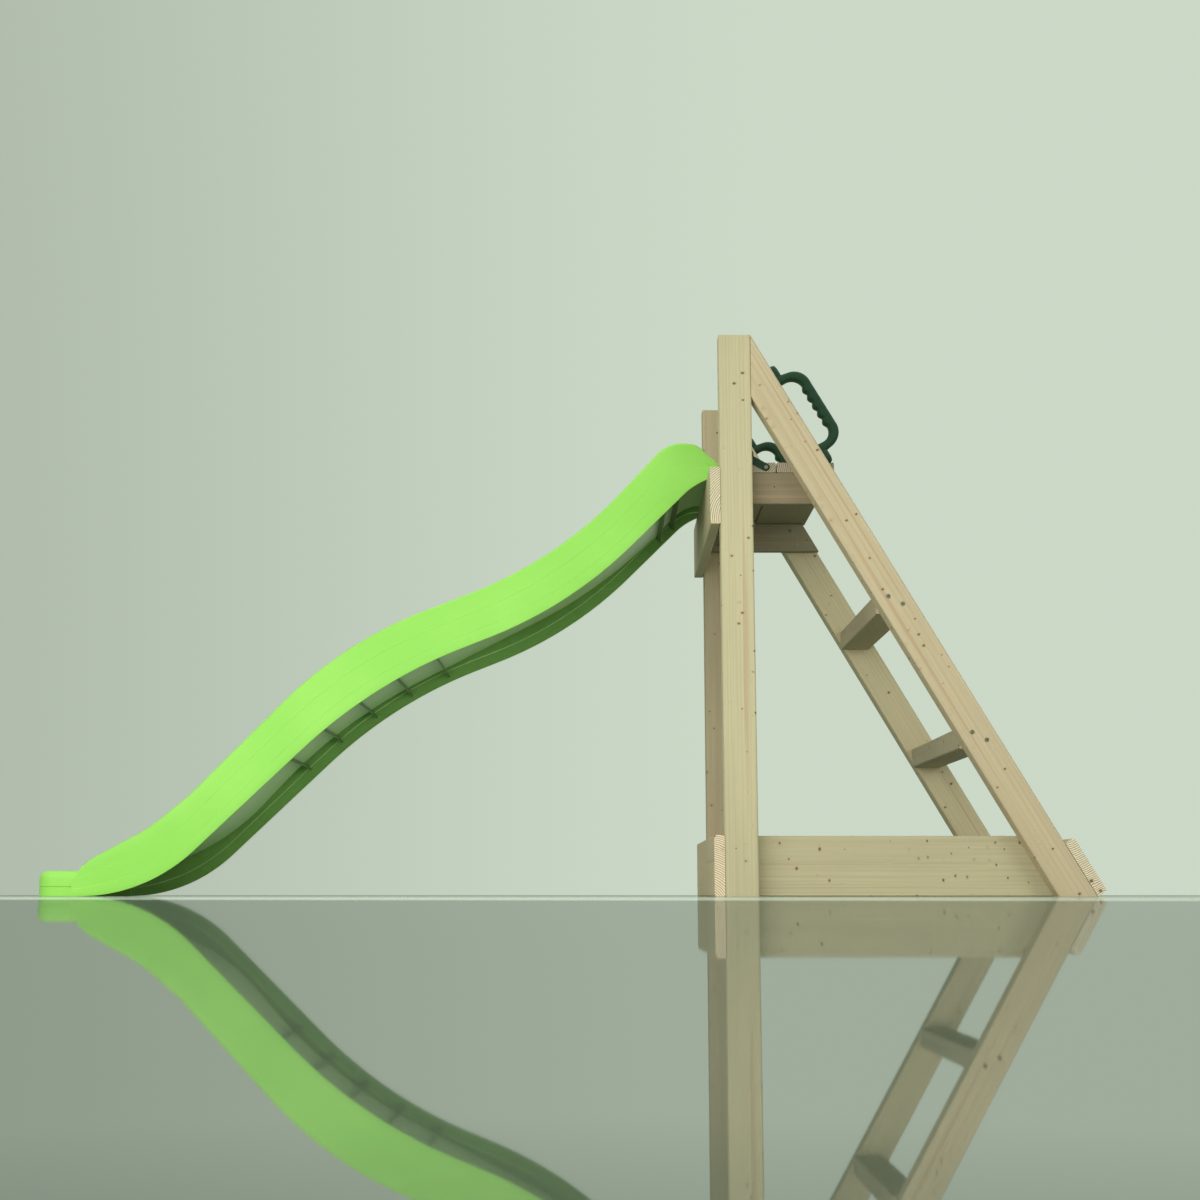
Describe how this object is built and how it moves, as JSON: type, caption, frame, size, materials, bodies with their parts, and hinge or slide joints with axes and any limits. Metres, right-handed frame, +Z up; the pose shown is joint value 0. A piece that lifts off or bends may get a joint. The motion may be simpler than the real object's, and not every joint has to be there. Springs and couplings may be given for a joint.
{
  "type": "free-standing playground slide",
  "caption": "Free-standing children's wave slide hooked over a timber A-frame platform with a two-tread ladder and moulded hand grips.",
  "frame": {"origin": "bottom centre of the whole, on the floor", "axes": "+Z up, slide runs down towards -X, ladder leans towards +X, Y across"},
  "size_m": [2.2494, 0.62, 1.208],
  "materials": {
    "frame_timber": "planed untreated spruce",
    "board_timber": "planed untreated spruce",
    "slide_plastic": "satin moulded polyethylene",
    "grip_plastic": "satin moulded plastic",
    "screw_steel": "zinc plated"
  },
  "bodies": {
    "root": {"base_rail_left": "board_timber", "base_rail_right": "board_timber", "base_rail_screws": "screw_steel", "clip_screws": "screw_steel", "corner_clip": "grip_plastic", "deck_board_front": "board_timber", "deck_board_rear": "board_timber", "deck_screws": "screw_steel", "foot_board_screws": "screw_steel", "front_base_board": "board_timber", "front_board_screws": "screw_steel", "front_post_left": "frame_timber", "front_post_right": "frame_timber", "front_top_board": "board_timber", "grip_screws": "screw_steel", "hand_grip_left": "grip_plastic", "hand_grip_right": "grip_plastic", "rear_foot_board": "board_timber", "side_rail_left": "board_timber", "side_rail_right": "board_timber", "side_rail_screws": "screw_steel", "slide": "slide_plastic", "slide_screws": "screw_steel", "stringer_left": "frame_timber", "stringer_right": "frame_timber", "stringer_top_screws": "screw_steel", "tread_lower": "frame_timber", "tread_screws": "screw_steel", "tread_upper": "frame_timber"}
  },
  "joints": []
}
